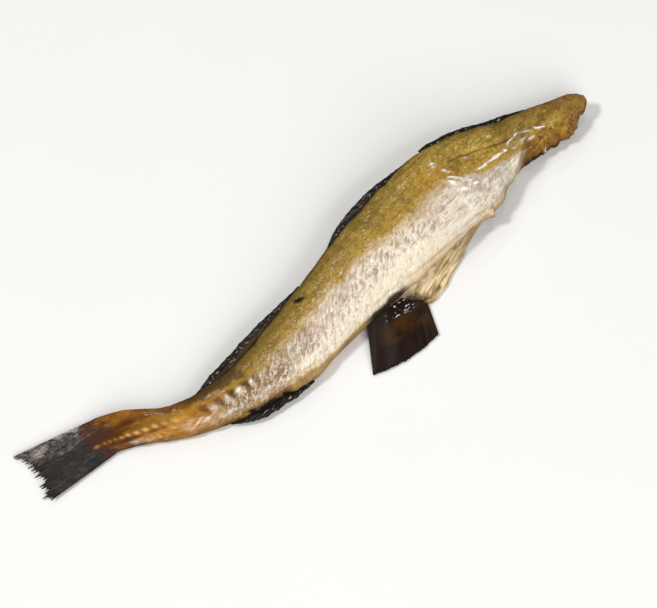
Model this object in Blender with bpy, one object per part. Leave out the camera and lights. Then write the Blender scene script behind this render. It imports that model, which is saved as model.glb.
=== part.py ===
"""A semi-dried young pollock, headless and gutted, lying on its left side.

The fish is one solid: a lofted body with a real belly slit, and six thin fins
fused to it. Lengths below are in millimetres in the fish's own plan: +X points to
the cut nape, +Y to the back and +Z up. The finished part is moved so that the
middle of its box stands over the origin, and is scaled to metres.
"""

import math

import bmesh
import bpy
import numpy as np

MM = 0.001

# Each row is one station along the body: x, y of the dorsal ridge, y of the upper
# belly edge (the keel where the belly is shut), and the height of the flank.
STATIONS = (
    (-119.0, -4.8, -22.5, 3.4),
    (-110.0, -6.5, -25.0, 6.2),
    (-100.0, -11.1, -28.8, 8.4),
    (-85.0, -21.2, -36.6, 10.0),
    (-70.0, -25.2, -41.4, 12.0),
    (-50.0, -22.8, -46.0, 14.6),
    (-30.0, -16.4, -47.0, 17.0),
    (-10.0, -10.0, -42.0, 20.0),
    (10.0, -2.4, -38.0, 22.6),
    (30.0, 4.4, -35.6, 25.0),
    (48.0, 8.8, -32.4, 26.6),
    (66.0, 12.0, -28.6, 27.0),
    (83.0, 11.8, -25.8, 25.2),
    (97.0, 9.0, -17.4, 22.4),
    (102.0, 8.0, -14.8, 21.2),
    (106.0, 7.3, -11.8, 20.2),
    (111.0, 6.7, -6.0, 19.0),
    (121.0, 5.4, -5.4, 17.2),
    (131.0, 3.8, -5.2, 15.4),
    (138.0, 2.8, -4.6, 14.2),
    (142.2, 0.8, -3.6, 12.8),
    (144.2, -1.2, -2.6, 11.6),
)

# The lower side of the slit: x, y of its edge, height of the edge's upper face,
# and height of the edge's lower face. It is the lower belly wall as far as x 100,
# and the cut flesh of the nape in front of that.
LOWER_LIP = (
    (-119.0, -22.3, 0.8, 0.0),
    (-70.0, -40.8, 2.4, 0.0),
    (-30.0, -46.0, 3.2, 0.0),
    (10.0, -37.0, 3.6, 0.0),
    (27.0, -39.0, 2.6, 0.0),
    (35.0, -43.6, 2.0, 0.0),
    (48.0, -38.6, 2.0, 0.0),
    (60.0, -31.6, 2.0, 0.0),
    (70.0, -25.8, 2.2, 0.0),
    (88.0, -17.6, 2.4, 0.0),
    (100.0, -12.4, 3.6, 0.6),
    (110.0, -13.6, 7.6, 2.2),
    (121.0, -13.8, 7.6, 3.2),
    (131.0, -13.2, 7.6, 3.8),
    (136.0, -10.8, 7.6, 4.0),
    (139.0, -8.4, 7.6, 4.2),
    (142.2, -6.2, 7.8, 4.8),
    (144.2, -4.6, 8.2, 5.8),
)

# By x: the share of the open slit in the belly's edge, the share of the nape's cut
# face, how far the slit reaches inwards, how creased the nape's cut edge is, and the
# share of the gap that the lower wall rises by where it clings to the flap. What the
# slit and the nape leave is the shut keel.
SLIT_SHARE = ((-119.0, 0.0), (20.0, 0.0), (34.0, 1.0), (96.0, 1.0), (108.0, 0.0), (144.2, 0.0))
NAPE_SHARE = ((-119.0, 0.0), (96.0, 0.0), (108.0, 1.0), (144.2, 1.0))
SLIT_DEPTH = ((-119.0, 2.0), (24.0, 2.0), (52.0, 3.0), (72.0, 17.0), (90.0, 14.0),
              (102.0, 7.0), (112.0, 3.0), (144.2, 3.0))
NAPE_CREASE = ((-119.0, 1.0), (112.0, 1.0), (124.0, 0.0), (144.2, 0.0))
WALL_RISE = ((-119.0, 0.0), (20.0, 0.0), (30.0, 1.0), (52.0, 1.0), (66.0, 0.0), (144.2, 0.0))

# The arch of the flank from the dorsal ridge to the belly, as shares of width and height.
ARCH = ((0.0, 0.56), (0.035, 0.74), (0.13, 0.91), (0.31, 1.0), (0.50, 0.985), (0.68, 0.90), (0.84, 0.73))
NAPE_ARCH = ((0.0, 0.56), (0.07, 0.74), (0.20, 0.90), (0.38, 0.98), (0.58, 1.0), (0.76, 0.985),
             (0.90, 0.955))
BACK_UNDER = ((0.16, 0.0), (0.045, 0.13), (0.0, 0.36))
KEEL = ((1.0, 0.36), (1.0, 0.29), (0.997, 0.24), (0.992, 0.20), (0.985, 0.16),
        (0.976, 0.12), (0.965, 0.09), (0.95, 0.06), (0.93, 0.03), (0.90, 0.0))
FLAP_THICKNESS = 2.2
SLIT_EDGE_HEIGHT = 0.33
NAPE_EDGE_HEIGHT = 0.90

BODY_X_STEPS = ((-119.0, 20.0, 27), (20.0, 96.0, 18), (96.0, 114.0, 9), (114.0, 138.0, 6), (138.0, 144.2, 6))
STEPS_PER_CONTROL = 2

OLIVE_TAN = (0.36, 0.29, 0.12)


def clear_scene():
    for obj in list(bpy.data.objects):
        bpy.data.objects.remove(obj, do_unlink=True)


def smooth(knots, values, at):
    """A smooth curve through the knots that never overshoots them (monotone cubic)."""
    knots = np.asarray(knots, float)
    values = np.asarray(values, float)
    at = np.clip(np.asarray(at, float), knots[0], knots[-1])
    step = np.diff(knots)
    slope = np.diff(values) / step
    tangent = np.zeros(len(knots))
    same_way = slope[:-1] * slope[1:] > 0.0
    safe = np.where(same_way, slope[:-1] + slope[1:], 1.0)
    tangent[1:-1] = np.where(same_way, 2.0 * slope[:-1] * slope[1:] / safe, 0.0)
    tangent[0] = slope[0]
    tangent[-1] = slope[-1]
    cell = np.clip(np.searchsorted(knots, at, side="right") - 1, 0, len(step) - 1)
    width = step[cell]
    t = (at - knots[cell]) / width
    rise = values[cell + 1] - values[cell]
    start = tangent[cell] * width
    end = tangent[cell + 1] * width
    return values[cell] + t * start + t**2 * (3 * rise - 2 * start - end) + t**3 * (start + end - 2 * rise)


def column(rows, index, x):
    """One column of a table, smoothly at x."""
    table = np.array(rows)
    return float(smooth(table[:, 0], table[:, index], x))


def mix(a, b, share):
    return tuple(p + (q - p) * share for p, q in zip(a, b))


def slit_edge(edge, edge_z, lip, lip_top, lip_low, depth, rise):
    """The open belly in section: round the upper wall's edge, into the slit and out over the lower wall."""
    sheet = 0.5 * FLAP_THICKNESS
    roof_z = edge_z + 0.26 * depth
    under_z = edge_z - 2.0 * sheet
    floor_z = lip_top + 0.07 * depth + rise * (under_z - lip_top)
    wall_z = lip_top + 0.03 * depth + rise * 0.8 * (under_z - lip_top)
    return (
        (edge, edge_z + sheet),
        (edge + 0.3, edge_z - sheet),
        (edge + 0.40 * depth, edge_z - sheet + 0.12 * depth),
        (edge + 0.80 * depth, roof_z),
        (edge + depth, 0.5 * (roof_z + floor_z)),
        (edge + 0.80 * depth, floor_z),
        (edge + 0.40 * depth, wall_z),
        (lip + 0.6, lip_top),
        (lip, 0.5 * (lip_top + lip_low)),
        (lip + 1.2, lip_low),
    )


def nape_edge(edge, edge_z, lip, lip_top, lip_low, crease):
    """The cut side of the nape in section: a step off the skin, as deep as crease, then flesh to the lip."""
    scale = min(1.0, (edge - lip) / 8.0)
    drop = 0.3 + 0.5 * crease
    step = (edge - (0.9 - 0.5 * crease) * scale, edge_z - drop * scale)
    corner = (lip + 0.6 * scale, lip_top)
    face = [mix(step, corner, share) for share in (0.2, 0.4, 0.6, 0.8, 0.92)]
    bulge = mix((1.3, 2.0, 2.1, 1.6, 0.8), (0.8, 1.4, 1.6, 1.3, 0.7), crease)
    return (
        (edge, edge_z),
        step,
        *[(y, z + rise * scale) for (y, z), rise in zip(face, bulge)],
        corner,
        (lip, 0.5 * (lip_top + lip_low)),
        (lip + 1.2 * scale, lip_low),
    )


def section_controls(x):
    """Control points (y, z) round the body at x: over the flank, round the belly's edge and underneath."""
    dorsal, edge, height = (column(STATIONS, i, x) for i in (1, 2, 3))
    lip, lip_top, lip_low = (column(LOWER_LIP, i, x) for i in (1, 2, 3))
    slit_share = column(SLIT_SHARE, 1, x)
    nape_share = column(NAPE_SHARE, 1, x)
    width = dorsal - edge
    flank = height - lip_low

    def placed(shares):
        return [(dorsal - a * width, lip_low + b * flank) for a, b in shares]

    keel_form = np.array(placed(KEEL))
    slit_form = np.array(slit_edge(edge, lip_low + SLIT_EDGE_HEIGHT * flank, lip, lip_top, lip_low,
                                   column(SLIT_DEPTH, 1, x), column(WALL_RISE, 1, x)))
    nape_form = np.array(nape_edge(edge, lip_low + NAPE_EDGE_HEIGHT * flank, lip, lip_top, lip_low,
                                   column(NAPE_CREASE, 1, x)))
    belly = keel_form + slit_share * (slit_form - keel_form) + nape_share * (nape_form - keel_form)
    arch = np.array(placed(ARCH)) * (1.0 - nape_share) + np.array(placed(NAPE_ARCH)) * nape_share
    inner = (dorsal - 0.55 * (dorsal - belly[-1][0]), lip_low)
    return np.vstack([arch, belly, [inner], placed(BACK_UNDER)])


def section(x, steps):
    """The closed outline of the body at x, rounded through its controls."""
    ring = section_controls(x)
    wrapped = np.vstack([ring[-3:], ring, ring[:3]])
    spans = np.linalg.norm(np.diff(wrapped, axis=0), axis=1) ** 0.5
    knots = np.concatenate([[0.0], np.cumsum(spans)])
    at = np.concatenate([np.linspace(start, end, steps, endpoint=False)
                         for start, end in zip(knots[3:-3], knots[4:-2])])
    y = smooth(knots, wrapped[:, 0], at)
    z = smooth(knots, wrapped[:, 1], at)
    return np.column_stack([np.full(len(at), x), y, z])


def ridge(x):
    """The dorsal ridge at x, where the fins of the back stand."""
    y, z = section_controls(x)[0]
    return np.array([x, y, z])


def keel(x):
    """The edge of the shut belly at x, where the fins of the belly stand."""
    return np.array([x, column(STATIONS, 2, x), 0.22 * column(STATIONS, 3, x)])


def mesh_object(name, points, faces, material):
    """A mesh object from points in millimetres, its faces turned to point outwards."""
    mesh = bpy.data.meshes.new(name)
    mesh.from_pydata([tuple(p) for p in np.asarray(points) * MM], [], faces)
    shape = bmesh.new()
    shape.from_mesh(mesh)
    bmesh.ops.recalc_face_normals(shape, faces=shape.faces)
    shape.to_mesh(mesh)
    shape.free()
    mesh.materials.append(material)
    obj = bpy.data.objects.new(name, mesh)
    bpy.context.scene.collection.objects.link(obj)
    return obj


def grid_faces(rows, columns, closed):
    """Triangles over a grid of points stored row by row, wrapping round each row if closed."""
    faces = []
    for i in range(rows - 1):
        for j in range(columns if closed else columns - 1):
            right = (j + 1) % columns
            a = i * columns + j
            b = i * columns + right
            c = (i + 1) * columns + right
            d = (i + 1) * columns + j
            faces += [(a, b, c), (a, c, d)]
    return faces


def make_body(material):
    xs = [x for start, end, count in BODY_X_STEPS for x in np.linspace(start, end, count, endpoint=False)]
    xs.append(BODY_X_STEPS[-1][1])
    rings = [section(x, STEPS_PER_CONTROL) for x in xs]
    size = len(rings[0])
    points = list(np.vstack(rings))
    faces = grid_faces(len(rings), size, closed=True)
    tail_middle = len(points)
    points.append(rings[0].mean(axis=0))
    nape_middle = len(points)
    points.append(rings[-1].mean(axis=0) + (1.0, 0.0, 0.0))
    last = (len(rings) - 1) * size
    for j in range(size):
        right = (j + 1) % size
        faces.append((tail_middle, right, j))
        faces.append((nape_middle, last + j, last + right))
    return mesh_object("body", points, faces, material)


def blade(name, middle, thickness, material):
    """A thin closed fin over a grid of middle points, thick at the root (first row) as given by row."""
    rows, columns, _ = middle.shape
    along = np.gradient(middle, axis=1)
    out = np.gradient(middle, axis=0)
    normal = np.cross(along, out)
    normal /= np.linalg.norm(normal, axis=2, keepdims=True)
    half = 0.5 * np.asarray(thickness)[:, None, None] * normal
    upper = (middle + half).reshape(-1, 3)
    lower = (middle - half).reshape(-1, 3)
    count = rows * columns
    faces = grid_faces(rows, columns, closed=False)
    faces += [(a + count, c + count, b + count) for a, b, c in faces]
    rim = list(range(columns))
    rim += [i * columns + columns - 1 for i in range(1, rows)]
    rim += [(rows - 1) * columns + j for j in range(columns - 2, -1, -1)]
    rim += [i * columns for i in range(rows - 2, 0, -1)]
    for a, b in zip(rim, rim[1:] + rim[:1]):
        faces += [(b, a, a + count), (b, a + count, b + count)]
    return mesh_object(name, np.vstack([upper, lower]), faces, material)


def fin_grid(roots, tips, rows, sag=0.0):
    """Middle points of a fin whose rays run from roots to tips, bowed downwards by sag."""
    shares = np.linspace(0.0, 1.0, rows)[:, None, None]
    grid = roots[None] + (tips - roots)[None] * shares
    grid[:, :, 2] -= (sag * np.sin(math.pi * shares))[:, :, 0]
    return grid


def frayed(count, depth, seed):
    """How much each ray falls short of the fin's outline, uneven but always the same."""
    return depth * np.random.default_rng(seed).random(count)


def back_fin(name, front, rear, profile, columns, lean, sweep, lift_off, material, seed):
    """A folded fin on the dorsal ridge from x front to x rear: profile gives its height along it."""
    share = np.linspace(0.0, 1.0, columns)
    xs = front + (rear - front) * share
    height = smooth([p[0] for p in profile], [p[1] for p in profile], share)
    height = height - frayed(columns, 0.5, seed)
    free = smooth((0.0, 1.0 - lift_off[0], 1.0), (0.0, 0.0, 1.0), share) if lift_off[0] else np.zeros(columns)
    outwards = np.array([0.0, math.cos(lean), math.sin(lean)])
    roots = np.array([ridge(x) for x in xs]) - outwards * 2.2
    roots += np.outer(free * (2.2 + lift_off[1]), outwards)
    tips = roots + np.outer(height + 2.2 * (1.0 - free), outwards)
    tips[:, 0] -= sweep * height
    return blade(name, fin_grid(roots, tips, 4), (1.8, 1.6, 1.2, 0.7), material)


def make_back_fins(material):
    lean = math.radians(18.0)
    return [
        back_fin("fin_back_front", 121.0, 69.0, ((0.0, 1.0), (0.2, 3.0), (0.55, 3.8), (0.9, 2.8), (1.0, 1.2)),
                 19, lean, 0.5, (0.25, 1.0), material, 1),
        back_fin("fin_back_middle", 62.0, 11.0, ((0.0, 0.8), (0.3, 2.8), (0.6, 3.6), (0.85, 2.8), (1.0, 0.8)),
                 21, lean, 0.4, (0.0, 0.0), material, 2),
        back_fin("fin_back_rear", -9.0, -72.0, ((0.0, 0.8), (0.25, 2.8), (0.55, 4.8), (0.8, 3.9), (1.0, 0.8)),
                 25, lean, 0.4, (0.0, 0.0), material, 3),
    ]


def make_spread_belly_fin(material):
    """The first fin of the belly, spread flat on the surface below."""
    columns = 17
    share = np.linspace(0.0, 1.0, columns)
    root_x = 35.0 + (5.0 - 35.0) * share
    roots = np.array([keel(x) for x in root_x])
    roots[:, 1] += 3.0
    tips = np.column_stack([
        28.5 + (-6.5 - 28.5) * share,
        -58.5 - 2.4 * np.sin(math.pi * share) + frayed(columns, 1.2, 4),
        np.full(columns, 0.75),
    ])
    grid = fin_grid(roots, tips, 8, sag=0.35)
    ripple = 0.35 * np.sin(share * 17.0)[None, :] * np.linspace(0.0, 1.0, 8)[:, None]
    grid[:, :, 2] = np.maximum(grid[:, :, 2] + ripple, 0.7)
    return blade("fin_belly_front", grid, np.linspace(1.8, 0.9, 8), material)


def make_folded_belly_fin(material):
    """The second fin of the belly, folded back against the edge."""
    columns = 17
    share = np.linspace(0.0, 1.0, columns)
    root_x = -24.0 + (-66.0 + 24.0) * share
    roots = np.array([keel(x) for x in root_x])
    height = smooth((0.0, 0.3, 0.65, 1.0), (0.8, 2.6, 3.2, 0.8), share) - frayed(columns, 0.4, 5)
    tips = roots + np.column_stack([-0.5 * height, -height, -0.15 * height])
    roots[:, 1] += 2.0
    return blade("fin_belly_rear", fin_grid(roots, tips, 4), (1.8, 1.6, 1.3, 0.8), material)


def make_tail_fin(material):
    """The tail fin: a fan with a frayed end, its rays a little gathered."""
    columns = 21
    share = np.linspace(0.0, 1.0, columns)
    roots = np.column_stack([
        -111.0 + 3.0 * np.sin(math.pi * share),
        -6.2 - 18.2 * share,
        np.full(columns, 1.9),
    ])
    tips = np.column_stack([
        -149.5 + 3.4 * np.sin(math.pi * share) + frayed(columns, 2.6, 6),
        0.2 - 28.2 * share,
        1.5 + 0.35 * np.sin(share * 19.0),
    ])
    return blade("fin_tail", fin_grid(roots, tips, 9), np.linspace(2.6, 0.9, 9), material)


def fish_material():
    material = bpy.data.materials.new("semi-dried skin")
    material.use_nodes = True
    surface = material.node_tree.nodes["Principled BSDF"]
    surface.inputs["Base Color"].default_value = (*OLIVE_TAN, 1.0)
    surface.inputs["Roughness"].default_value = 0.35
    surface.inputs["Metallic"].default_value = 0.0
    return material


def fuse(name, body, fins):
    """Joins the fins to the body with one Boolean union and removes them."""
    operands = bpy.data.collections.new("operands")
    for fin in fins:
        operands.objects.link(fin)
        bpy.context.scene.collection.objects.unlink(fin)
    bpy.context.scene.collection.children.link(operands)
    union = body.modifiers.new("union", "BOOLEAN")
    union.operation = "UNION"
    union.operand_type = "COLLECTION"
    union.collection = operands
    union.solver = "EXACT"
    graph = bpy.context.evaluated_depsgraph_get()
    fused = bpy.data.meshes.new_from_object(body.evaluated_get(graph))
    body.modifiers.clear()
    body.data = fused
    body.name = name
    fused.name = name
    for fin in fins:
        bpy.data.objects.remove(fin, do_unlink=True)
    bpy.data.collections.remove(operands)
    return body


def stand_over_origin(obj):
    """Moves the mesh so that the middle of its box, at its foot, is the origin."""
    count = len(obj.data.vertices)
    points = np.empty(count * 3)
    obj.data.vertices.foreach_get("co", points)
    points = points.reshape(-1, 3)
    low = points.min(axis=0)
    high = points.max(axis=0)
    points -= (0.5 * (low[0] + high[0]), 0.5 * (low[1] + high[1]), low[2])
    obj.data.vertices.foreach_set("co", points.ravel())
    obj.data.update()


def main():
    clear_scene()
    material = fish_material()
    body = make_body(material)
    fins = make_back_fins(material)
    fins += [make_spread_belly_fin(material), make_folded_belly_fin(material), make_tail_fin(material)]
    fish = fuse("pollock", body, fins)
    stand_over_origin(fish)
    fish.data.shade_smooth()


main()
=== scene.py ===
"""The looks of a semi-dried young pollock: moist skin, cut flesh, bone beads and rayed fins.

The body is the same loft as the solid's, drawn finely and given relief. Lengths are in
millimetres in the fish's own plan (+X to the cut nape, +Y to the back, +Z up), and are
moved and scaled to the frame at the end. Places on the shown flank are given as "seen"
coordinates: where a point falls when the camera's line of sight carries it to the floor.
"""

import math

import bpy
import numpy as np
from mathutils import Matrix, Vector


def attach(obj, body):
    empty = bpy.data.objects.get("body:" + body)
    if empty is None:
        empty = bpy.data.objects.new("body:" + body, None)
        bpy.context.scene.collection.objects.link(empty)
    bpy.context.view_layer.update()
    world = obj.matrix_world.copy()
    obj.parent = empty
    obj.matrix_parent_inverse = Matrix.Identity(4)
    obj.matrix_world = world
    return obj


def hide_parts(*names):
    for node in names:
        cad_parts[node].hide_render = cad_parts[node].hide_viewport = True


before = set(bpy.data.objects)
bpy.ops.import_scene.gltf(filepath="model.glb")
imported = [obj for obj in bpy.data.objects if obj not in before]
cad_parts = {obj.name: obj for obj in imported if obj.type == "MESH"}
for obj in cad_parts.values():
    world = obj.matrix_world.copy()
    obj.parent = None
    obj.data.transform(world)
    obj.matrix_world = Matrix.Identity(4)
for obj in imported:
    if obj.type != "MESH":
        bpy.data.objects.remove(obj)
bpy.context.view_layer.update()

NODE = "pollock"
BODY = "root"
MM = 0.001

# ------------ the fish's own form

# x, y of the dorsal ridge, y of the upper belly edge (the keel where it is shut), height.
STATIONS = np.array((
    (-119, -4.8, -22.5, 3.4), (-110, -6.5, -25, 6.2), (-100, -11.1, -28.8, 8.4),
    (-85, -21.2, -36.6, 10), (-70, -25.2, -41.4, 12), (-50, -22.8, -46, 14.6),
    (-30, -16.4, -47, 17), (-10, -10, -42, 20), (10, -2.4, -38, 22.6),
    (30, 4.4, -35.6, 25), (48, 8.8, -32.4, 26.6), (66, 12, -28.6, 27),
    (83, 11.8, -25.8, 25.2), (97, 9, -17.4, 22.4), (102, 8, -14.8, 21.2),
    (106, 7.3, -11.8, 20.2), (111, 6.7, -6, 19), (121, 5.4, -5.4, 17.2),
    (131, 3.8, -5.2, 15.4), (138, 2.8, -4.6, 14.2), (142.2, 0.8, -3.6, 12.8),
    (144.2, -1.2, -2.6, 11.6),
))
# The lower side of the slit: x, y of its edge, height of its upper face and of its lower face.
LOWER_LIP = np.array((
    (-119, -22.3, 0.8, 0), (-70, -40.8, 2.4, 0), (-30, -46, 3.2, 0),
    (10, -37, 3.6, 0), (27, -39, 2.6, 0), (35, -43.6, 2, 0),
    (48, -38.6, 2, 0), (60, -31.6, 2, 0), (70, -25.8, 2.2, 0),
    (88, -17.6, 2.4, 0), (100, -12.4, 3.6, 0.6), (110, -13.6, 7.6, 2.2),
    (121, -13.8, 7.6, 3.2), (131, -13.2, 7.6, 3.8), (136, -10.8, 7.6, 4),
    (139, -8.4, 7.6, 4.2), (142.2, -6.2, 7.8, 4.8), (144.2, -4.6, 8.2, 5.8),
))
# By x: the share of the open slit and of the nape's cut face, how far the slit reaches
# inwards, how creased the nape's edge is, and how far the lower wall clings to the flap.
SLIT_SHARE = ((-119, 0), (20, 0), (34, 1), (96, 1), (108, 0), (144.2, 0))
NAPE_SHARE = ((-119, 0), (96, 0), (108, 1), (144.2, 1))
SLIT_DEPTH = ((-119, 2), (24, 2), (52, 3), (72, 17), (90, 14), (102, 7), (112, 3), (144.2, 3))
NAPE_CREASE = ((-119, 1), (112, 1), (124, 0), (144.2, 0))
WALL_RISE = ((-119, 0), (20, 0), (30, 1), (52, 1), (66, 0), (144.2, 0))
# Control points of a section: the share of its width from the ridge, and of its height.
ARCH = ((0, 0.56), (0.035, 0.74), (0.13, 0.91), (0.31, 1), (0.5, 0.985), (0.68, 0.9), (0.84, 0.73))
NAPE_ARCH = ((0, 0.56), (0.07, 0.74), (0.2, 0.9), (0.38, 0.98), (0.58, 1), (0.76, 0.985), (0.9, 0.955))
BACK_UNDER = ((0.16, 0), (0.045, 0.13), (0, 0.36))
KEEL = ((1, 0.36), (1, 0.29), (0.997, 0.24), (0.992, 0.2), (0.985, 0.16),
        (0.976, 0.12), (0.965, 0.09), (0.95, 0.06), (0.93, 0.03), (0.9, 0))
FLAP_THICKNESS = 2.2
SLIT_EDGE_HEIGHT = 0.33
NAPE_EDGE_HEIGHT = 0.9
TAIL_END_X = -119
NAPE_END_X = 144.2
PLAN_MIDDLE = np.array((-1.456, -22.793, 0))

# Points drawn between one control of a section and the next, dense where the flank shows.
FLANK_STEPS = (7, 11, 18, 20, 20, 18, 13)
EDGE_STEPS = (6, 4, 6, 5, 5, 6, 6, 6, 4, 10)
UNDER_STEPS = (14, 6, 5, 7)
RING_STEPS = FLANK_STEPS + EDGE_STEPS + UNDER_STEPS
RING_PLACES = len(RING_STEPS)
# The control from which a section's underside is hidden.
UNDER_START = 16
# The nape's end is closed by smaller rings: their size and how far they bulge out.
NAPE_CAPS = ((0.82, 0.5), (0.55, 0.9), (0.25, 1.1))
STATION_STEP = 0.54
# How far the body runs on into the tail fin, in how many rings, and the rays on its end.
TAIL_REACH = 5
TAIL_RINGS = 9
TAIL_ROOT_RAYS = 11
TAIL_RAY_HEIGHT = 0.22
# Where the flap's edge has a small hooked notch.
NOTCH_X = 79.2

# How far a point at height z seems to move in plan, by the slant of the line of sight.
SEEN_SHIFT = np.array((0.292, 0.579))


def smooth(knots, values, at):
    """A smooth curve through the knots that never overshoots them (monotone cubic)."""
    knots = np.asarray(knots, float)
    values = np.asarray(values, float)
    at = np.clip(np.asarray(at, float), knots[0], knots[-1])
    step = np.diff(knots)
    slope = np.diff(values) / step
    tangent = np.zeros(len(knots))
    same_way = slope[:-1] * slope[1:] > 0
    safe = np.where(same_way, slope[:-1] + slope[1:], 1)
    tangent[1:-1] = np.where(same_way, 2 * slope[:-1] * slope[1:] / safe, 0)
    tangent[0] = slope[0]
    tangent[-1] = slope[-1]
    cell = np.clip(np.searchsorted(knots, at, side="right") - 1, 0, len(step) - 1)
    width = step[cell]
    t = (at - knots[cell]) / width
    rise = values[cell + 1] - values[cell]
    start = tangent[cell] * width
    end = tangent[cell + 1] * width
    return values[cell] + t * start + t**2 * (3 * rise - 2 * start - end) + t**3 * (start + end - 2 * rise)


def column(table, index, x):
    return smooth(table[:, 0], table[:, index], x)


def curve(points, at):
    """The smooth curve y(x) through a few points."""
    return smooth([p[0] for p in points], [p[1] for p in points], at)


def mix(a, b, share):
    return tuple(p + (q - p) * share for p, q in zip(a, b))


def slit_edge(edge, edge_z, lip, lip_top, lip_low, depth, rise):
    """The open belly in section: round the upper wall's edge, into the slit and out over the lower wall."""
    sheet = 0.5 * FLAP_THICKNESS
    roof_z = edge_z + 0.26 * depth
    under_z = edge_z - 2 * sheet
    floor_z = lip_top + 0.07 * depth + rise * (under_z - lip_top)
    wall_z = lip_top + 0.03 * depth + rise * 0.8 * (under_z - lip_top)
    return (
        (edge, edge_z + sheet),
        (edge + 0.3, edge_z - sheet),
        (edge + 0.4 * depth, edge_z - sheet + 0.12 * depth),
        (edge + 0.8 * depth, roof_z),
        (edge + depth, 0.5 * (roof_z + floor_z)),
        (edge + 0.8 * depth, floor_z),
        (edge + 0.4 * depth, wall_z),
        (lip + 0.6, lip_top),
        (lip, 0.5 * (lip_top + lip_low)),
        (lip + 1.2, lip_low),
    )


def nape_edge(edge, edge_z, lip, lip_top, lip_low, crease):
    """The cut side of the nape in section: a step as deep as crease, then flesh down to the lip."""
    scale = min(1, (edge - lip) / 8)
    drop = 0.3 + 0.5 * crease
    step = (edge - (0.9 - 0.5 * crease) * scale, edge_z - drop * scale)
    corner = (lip + 0.6 * scale, lip_top)
    face = [mix(step, corner, share) for share in (0.2, 0.4, 0.6, 0.8, 0.92)]
    bulge = mix((1.3, 2, 2.1, 1.6, 0.8), (0.8, 1.4, 1.6, 1.3, 0.7), crease)
    return (
        (edge, edge_z),
        step,
        *[(y, z + rise * scale) for (y, z), rise in zip(face, bulge)],
        corner,
        (lip, 0.5 * (lip_top + lip_low)),
        (lip + 1.2 * scale, lip_low),
    )


def section_controls(x):
    """Control points (y, z) round the body at x, as in the solid."""
    dorsal, edge, height = (float(column(STATIONS, i, x)) for i in (1, 2, 3))
    lip, lip_top, lip_low = (float(column(LOWER_LIP, i, x)) for i in (1, 2, 3))
    slit_share, nape_share, depth, crease, rise = (
        float(curve(table, x)) for table in (SLIT_SHARE, NAPE_SHARE, SLIT_DEPTH, NAPE_CREASE, WALL_RISE))
    width = dorsal - edge
    flank = height - lip_low

    def placed(shares):
        return [(dorsal - a * width, lip_low + b * flank) for a, b in shares]

    keel_form = np.array(placed(KEEL))
    slit_z = lip_low + SLIT_EDGE_HEIGHT * flank
    nape_z = lip_low + NAPE_EDGE_HEIGHT * flank
    slit_form = np.array(slit_edge(edge, slit_z, lip, lip_top, lip_low, depth, rise))
    nape_form = np.array(nape_edge(edge, nape_z, lip, lip_top, lip_low, crease))
    belly = keel_form + slit_share * (slit_form - keel_form) + nape_share * (nape_form - keel_form)
    arch = np.array(placed(ARCH)) * (1 - nape_share) + np.array(placed(NAPE_ARCH)) * nape_share
    inner = (dorsal - 0.55 * (dorsal - belly[-1][0]), lip_low)
    return np.vstack([arch, belly, [inner], placed(BACK_UNDER)])


def section(x):
    """The closed outline of the body at x, rounded through its controls, in RING_STEPS steps."""
    ring = section_controls(x)
    wrapped = np.vstack([ring[-3:], ring, ring[:3]])
    spans = np.linalg.norm(np.diff(wrapped, axis=0), axis=1) ** 0.5
    knots = np.concatenate([[0], np.cumsum(spans)])
    at = np.concatenate([np.linspace(start, end, steps, endpoint=False)
                         for start, end, steps in zip(knots[3:-3], knots[4:-2], RING_STEPS)])
    y = smooth(knots, wrapped[:, 0], at)
    z = smooth(knots, wrapped[:, 1], at)
    return np.column_stack([np.full(len(at), x), y, z])


def fin_foot(x):
    """Where a folded fin of the back leaves the skin: a little towards the shown flank from the ridge."""
    controls = section_controls(x)
    return np.array([x, *(0.35 * controls[0] + 0.65 * controls[1])])


def keel(x):
    return np.array([x, float(column(STATIONS, 2, x)), 0.22 * float(column(STATIONS, 3, x))])


# ------------ noise and soft steps

def lattice(ix, iy, iz, seed):
    """A repeatable number from 0 to 1 for each whole-numbered place."""
    mask = np.uint64(0xFFFFFFFF)
    h = (ix * 73856093) ^ (iy * 19349663) ^ (iz * 83492791) ^ (seed * 2654435761)
    h = h.astype(np.uint64) & mask
    h = ((h ^ (h >> np.uint64(13))) * np.uint64(1274126177)) & mask
    h = ((h ^ (h >> np.uint64(16))) * np.uint64(2246822519)) & mask
    h = h ^ (h >> np.uint64(15))
    return (h & np.uint64(0xFFFF)).astype(float) / 65535


def noise(points, seed):
    """Smooth value noise from -1 to 1 over points of one to three columns, one cell to a unit."""
    padded = np.zeros((len(points), 3))
    padded[:, :points.shape[1]] = points
    base = np.floor(padded)
    f = padded - base
    f = f * f * (3 - 2 * f)
    base = base.astype(np.int64)
    total = np.zeros(len(points))
    sides = (1 - f, f)
    for dx, dy, dz in np.ndindex(2, 2, 2):
        weight = sides[dx][:, 0] * sides[dy][:, 1] * sides[dz][:, 2]
        total += weight * lattice(base[:, 0] + dx, base[:, 1] + dy, base[:, 2] + dz, seed)
    return total * 2 - 1


def fractal(points, seed, octaves=3):
    total = np.zeros(len(points))
    for octave in range(octaves):
        total += noise(points * 2**octave, seed + octave) * 0.5**octave
    return total / (2 - 0.5 ** (octaves - 1))


def held(value):
    return np.clip(value, 0, 1)


def soft(low, high, value):
    """A smooth step from 0 at low to 1 at high."""
    t = held((value - low) / (high - low))
    return t * t * (3 - 2 * t)


def window(value, start, end, fade):
    """One between start and end, fading to nothing over fade on both sides."""
    return soft(start - fade, start, value) * (1 - soft(end, end + fade, value))


def bell(distance, width):
    """One on a line, falling off over about its width."""
    return np.exp(-(distance / width) ** 2)


def ridged(value):
    """Turns noise into thin raised lines, from 0 to 1."""
    return 1 - np.minimum(np.abs(value) * 2.2, 1)


# ------------ where things lie on the flank

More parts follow.
